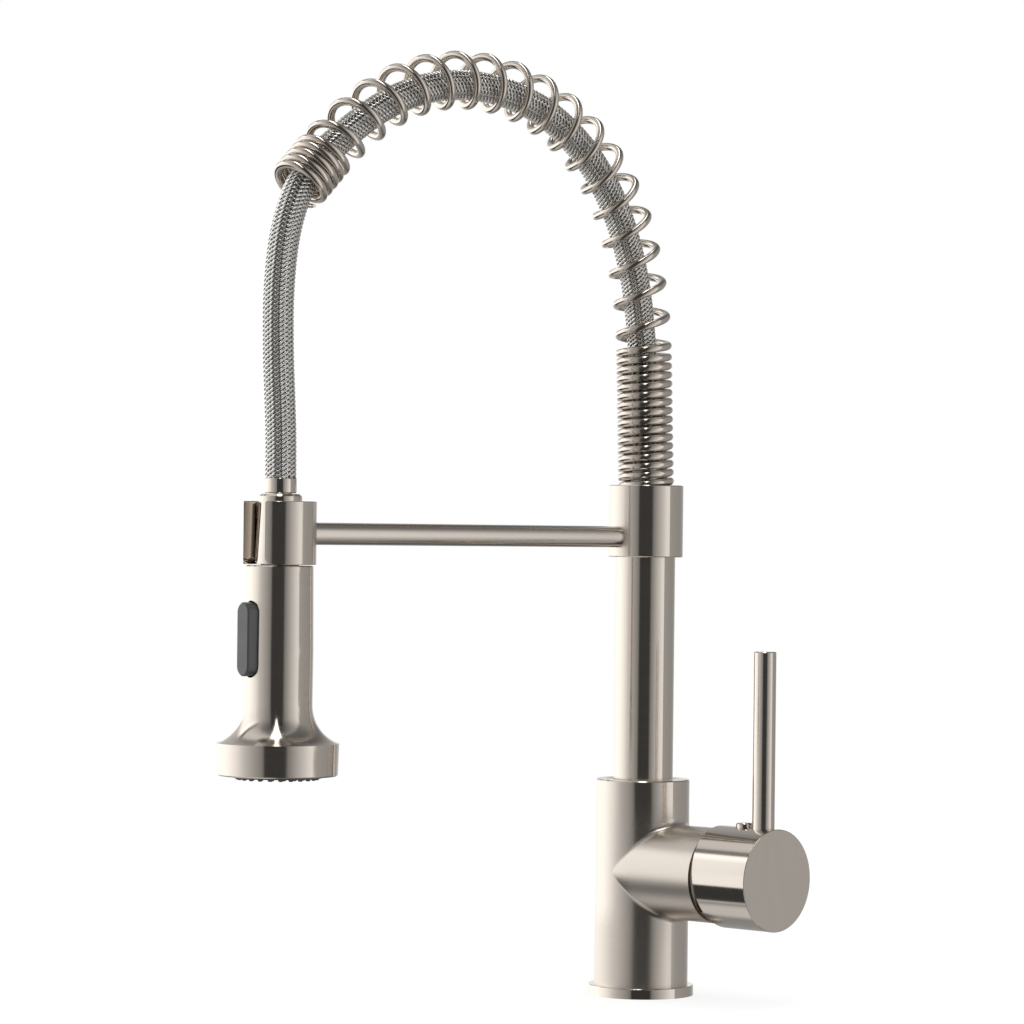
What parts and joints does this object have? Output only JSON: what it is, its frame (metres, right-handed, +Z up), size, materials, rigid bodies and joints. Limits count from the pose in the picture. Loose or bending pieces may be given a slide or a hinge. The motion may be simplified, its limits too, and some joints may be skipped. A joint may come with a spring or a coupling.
{
  "type": "kitchen faucet",
  "caption": "Tall spring-spout kitchen faucet with a pull-down spray head docked on a side arm, and a lever mixer handle on the side of its column.",
  "frame": {"origin": "the column's axis at the deck surface, in the mouth of the threaded bore for the mounting shank", "axes": "+Z up along the column, -Y from the column to the docked spray head, +X toward the handle's side (the handle's axis lies 8 degrees from +X toward +Y)"},
  "size_m": [0.1137, 0.273, 0.4384],
  "materials": {
    "nickel": "brushed nickel",
    "bright_nickel": "polished nickel",
    "spring_steel": "glossy plated spring wire",
    "braid": "braided steel and nylon hose cover",
    "brass": "machined brass",
    "screw_steel": "stainless screw",
    "white_plastic": "moulded acetal",
    "grey_plastic": "fine satin grey",
    "black_plastic": "matte black",
    "ceramic": "lapped alumina ceramic",
    "rubber": "moulded seal rubber"
  },
  "bodies": {
    "base": {"deck_flange": "bright_nickel", "deck_seal": "rubber", "valve_body": "nickel", "stop_screw": "screw_steel", "swivel_bearing": "white_plastic", "cartridge_base": "white_plastic", "fixed_disc": "ceramic", "cartridge_housing": "white_plastic", "cartridge_nut": "brass", "bonnet": "bright_nickel"},
    "mixer_spindle": {"cartridge_rotor": "white_plastic", "tilt_pin": "screw_steel"},
    "ceramic_slide": {"moving_disc": "ceramic", "disc_carrier": "white_plastic"},
    "handle": {"lever_stem": "screw_steel", "handle_knob": "nickel", "handle_lever": "nickel", "handle_screw": "bright_nickel"},
    "spout": {"riser_foot": "brass", "riser_ring_1": "rubber", "riser_ring_2": "rubber", "riser_tube": "nickel", "spout_collar": "nickel", "hose_nipple": "brass", "hose_crimp": "screw_steel", "spring": "spring_steel", "hose_arch": "braid", "hose_drop": "braid", "support_arm": "nickel", "arm_screw": "screw_steel", "docking_ring": "nickel"},
    "hose_end": {"hose_ferrule": "bright_nickel", "hose_tailpiece": "brass", "tailpiece_ring": "rubber"},
    "spray_head": {"dock_cone": "bright_nickel", "cone_washer": "white_plastic", "spray_shell": "nickel", "spray_core": "white_plastic", "rocker_pin": "screw_steel", "diffuser": "white_plastic", "face_ring": "grey_plastic", "nozzle_plate": "grey_plastic", "aerator": "black_plastic"},
    "spray_button": {"spray_button": "grey_plastic"},
    "diverter": {"diverter_spool": "white_plastic", "spool_ring": "rubber"}
  },
  "joints": [
    {"name": "mixer_turn", "type": "hinge", "parent": "base", "child": "mixer_spindle", "pos_m": [0, 0, 0.0592], "axis": [0.9903, 0.1392, 0], "range_deg": [-45, 45]},
    {"name": "handle_tilt", "type": "hinge", "parent": "mixer_spindle", "child": "handle", "pos_m": [0.03763, 0.00529, 0.0592], "axis": [-0.1392, 0.9903, 0], "range_deg": [0, 20]},
    {"name": "disc_travel", "type": "slide", "parent": "mixer_spindle", "child": "ceramic_slide", "axis": [0, 0, 1], "range_m": [0, 0.0038]},
    {"name": "spout_swivel", "type": "hinge", "parent": "base", "child": "spout", "pos_m": [0, 0, 0.0959], "axis": [0, 0, 1], "continuous": true},
    {"name": "pull_down", "type": "slide", "parent": "spout", "child": "hose_end", "axis": [0, 0, -1], "range_m": [0, 0.04], "stiffness_N_per_m": 400, "springref_m": -0.02, "deforming": ["hose_drop"]},
    {"name": "spray_spin", "type": "hinge", "parent": "hose_end", "child": "spray_head", "pos_m": [0, -0.2106, 0.208], "axis": [0, 0, 1], "continuous": true},
    {"name": "spray_rocker", "type": "hinge", "parent": "spray_head", "child": "spray_button", "pos_m": [0, -0.2211, 0.1701], "axis": [1, 0, 0], "range_deg": [-5, 5]},
    {"name": "diverter_shift", "type": "slide", "parent": "spray_head", "child": "diverter", "axis": [0, 0, 1], "range_m": [-0.00063, 0.00063]}
  ],
  "couplings": [
    {"joint": "disc_travel", "follows": "handle_tilt", "m_per_rad": 0.0106},
    {"joint": "spray_rocker", "follows": "diverter_shift", "rad_per_m": 138.89}
  ]
}
